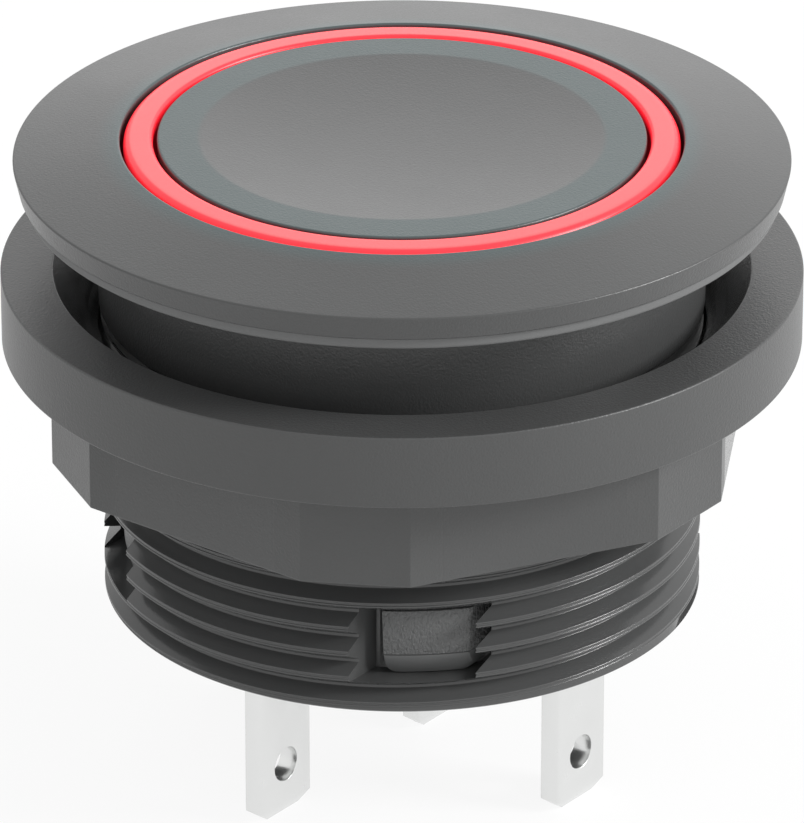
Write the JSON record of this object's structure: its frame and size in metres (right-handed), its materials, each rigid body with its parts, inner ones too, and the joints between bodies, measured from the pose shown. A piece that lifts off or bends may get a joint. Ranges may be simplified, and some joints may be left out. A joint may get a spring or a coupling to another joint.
{
  "type": "illuminated push button",
  "caption": "Flush illuminated push button: dished cap in a red light ring, round bezel, threaded barrel with a flanged mounting nut, and flat tab terminals.",
  "frame": {"origin": "on the button's axis, in the panel's front face, which the gasket under the bezel lies on", "axes": "+Z out of the panel towards the finger, +X along the width of the terminal tabs, +Y through their thickness; the two lamp tabs lie on the Y axis"},
  "size_m": [0.0292, 0.0292, 0.0246],
  "materials": {
    "bezel_plastic": "fine spark-eroded grain, dark grey",
    "gasket_rubber": "smooth dark elastomer",
    "nut_plastic": "fine spark-eroded grain, dark grey",
    "ring_light": "translucent red, lit from inside",
    "cap_plastic": "fine satin grain, dark grey",
    "sleeve_plastic": "fine grain, dark grey",
    "plunger_plastic": "natural acetal",
    "seal_rubber": "smooth black elastomer",
    "carrier_plastic": "glass-filled, black",
    "board_laminate": "green solder mask on glass laminate",
    "resistor_ceramic": "black glaze with tinned end caps",
    "diode_epoxy": "black epoxy with tinned end caps",
    "led_package": "pale package with a clear lens",
    "tab_tin": "brass with a matt tin plating",
    "contact_silver": "silver alloy",
    "bridge_brass": "bright rolled strip",
    "spring_steel": "drawn spring wire"
  },
  "bodies": {
    "root": {"bezel_housing": "bezel_plastic", "panel_gasket": "gasket_rubber", "light_ring": "ring_light", "latch_sleeve": "sleeve_plastic", "lamp_board": "board_laminate", "lamp_resistor": "resistor_ceramic", "lamp_diode": "diode_epoxy", "led_1": "led_package", "led_2": "led_package", "led_3": "led_package", "led_4": "led_package", "contact_carrier": "carrier_plastic", "lamp_terminal_1": "tab_tin", "lamp_terminal_2": "tab_tin", "terminal_common": "tab_tin", "terminal_open": "tab_tin", "fixed_contact_common": "contact_silver", "fixed_contact_open": "contact_silver", "return_spring": "spring_steel"},
    "button": {"button_cap": "cap_plastic", "plunger": "plunger_plastic", "plunger_seal": "seal_rubber", "contact_spring": "spring_steel"},
    "bridge": {"contact_bridge": "bridge_brass", "moving_contact_common": "contact_silver", "moving_contact_open": "contact_silver"},
    "nut": {"mounting_nut": "nut_plastic"}
  },
  "joints": [
    {"name": "button_travel", "type": "slide", "parent": "root", "child": "button", "axis": [0, 0, -1], "range_m": [0, 0.002], "stiffness_N_per_m": 800, "springref_m": -0.0015, "deforming": ["return_spring"]},
    {"name": "bridge_float", "type": "slide", "parent": "button", "child": "bridge", "axis": [0, 0, 1], "range_m": [0, 0.00082], "deforming": ["contact_spring"]},
    {"name": "nut_travel", "type": "slide", "parent": "root", "child": "nut", "axis": [0, 0, 1], "range_m": [-0.011, 0.002]}
  ],
  "couplings": [
    {"joint": "bridge_float", "follows": "button_travel", "ratio": 0.41}
  ]
}
